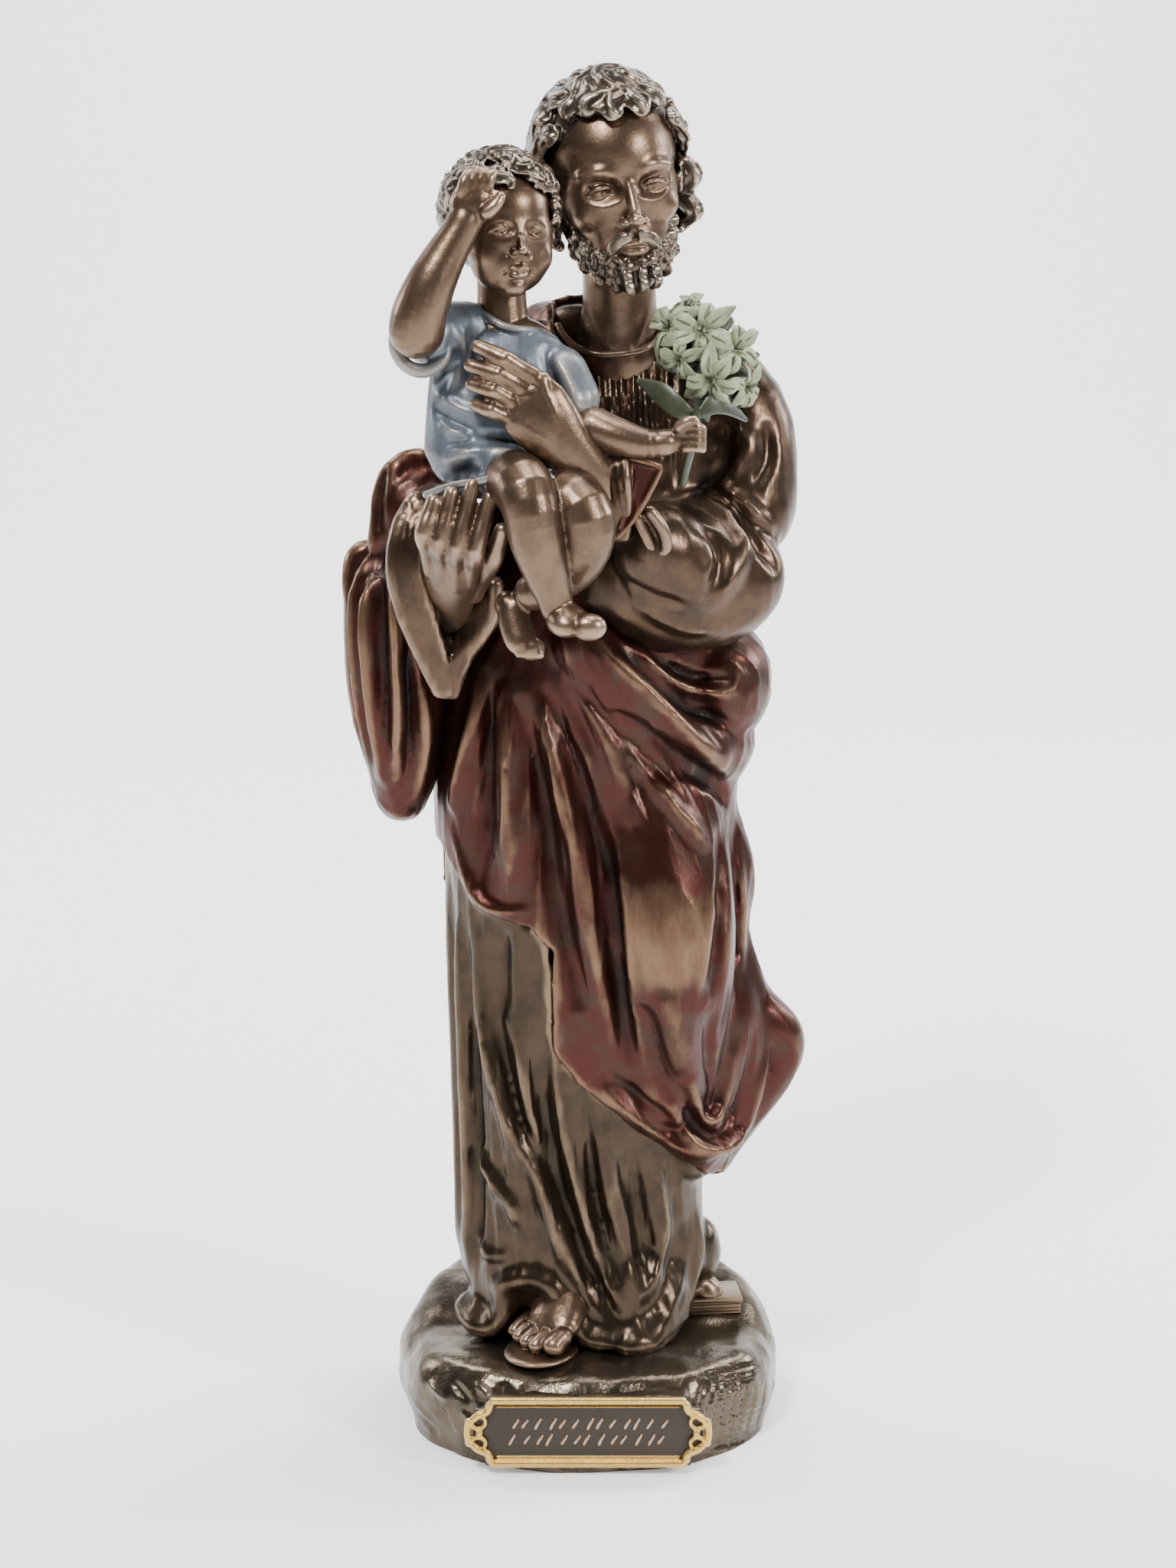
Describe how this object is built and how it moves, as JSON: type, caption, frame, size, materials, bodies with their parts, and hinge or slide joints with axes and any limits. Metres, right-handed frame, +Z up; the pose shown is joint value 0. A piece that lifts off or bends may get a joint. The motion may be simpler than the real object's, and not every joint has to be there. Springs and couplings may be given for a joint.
{
  "type": "saint and child statuette",
  "caption": "Standing bearded saint in long robes holding a seated child with a lily spray, on a rocky base with a framed plate.",
  "frame": {"origin": "on the flat underside, below the figure's axis", "axes": "+Z up, -Y is the front the figure faces, +X to the viewer's right"},
  "size_m": [0.0955, 0.0901, 0.2835],
  "materials": {
    "bronze": "dark antique bronze paint rubbed bright on the high places, on cold-cast resin",
    "red_wash": "oxblood wash over bronze on the mantle and the cuff's lining",
    "blue_wash": "slate-blue wash over bronze on the child's dress",
    "lily_green": "pale sage on the petals, dark green on leaves and stem",
    "gilt": "gold paint on the plate's frame and scrolls"
  },
  "bodies": {
    "root": {"statue": "bronze"}
  },
  "joints": []
}
